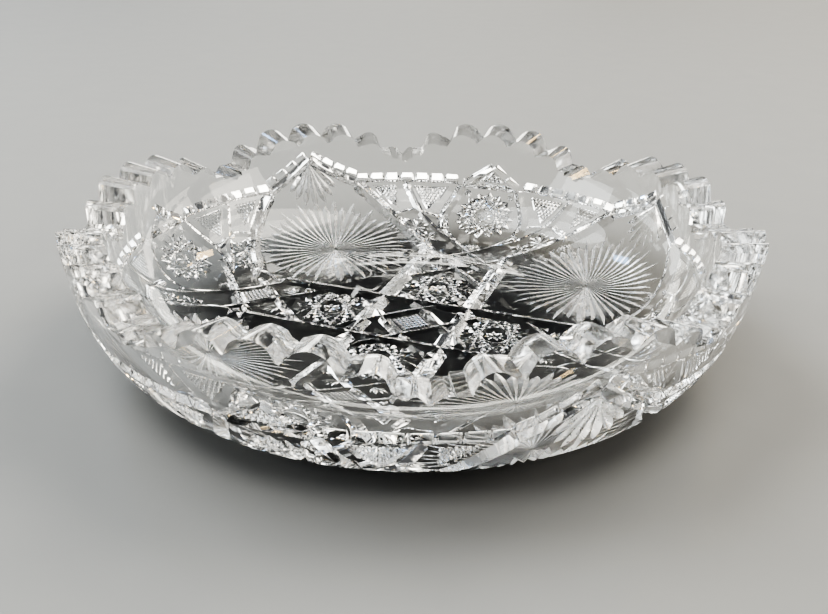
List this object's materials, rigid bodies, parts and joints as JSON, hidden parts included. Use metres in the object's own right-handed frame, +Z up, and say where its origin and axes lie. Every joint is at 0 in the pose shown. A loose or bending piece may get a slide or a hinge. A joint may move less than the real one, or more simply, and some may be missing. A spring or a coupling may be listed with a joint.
{
  "type": "cut crystal dish",
  "caption": "Low round bowl of cut lead crystal with a thick scalloped saw-toothed rim and star and mitre cutting on its outside.",
  "frame": {"origin": "centre of the flat base, on the surface the dish stands on", "axes": "+Z up along the dish's axis; +Y and +X each run through a valley between two scallops"},
  "size_m": [0.1758, 0.1758, 0.042],
  "materials": {
    "lead_crystal": "polished colourless lead crystal, cut with mitre wheels"
  },
  "bodies": {
    "root": {"dish": "lead_crystal"}
  },
  "joints": []
}
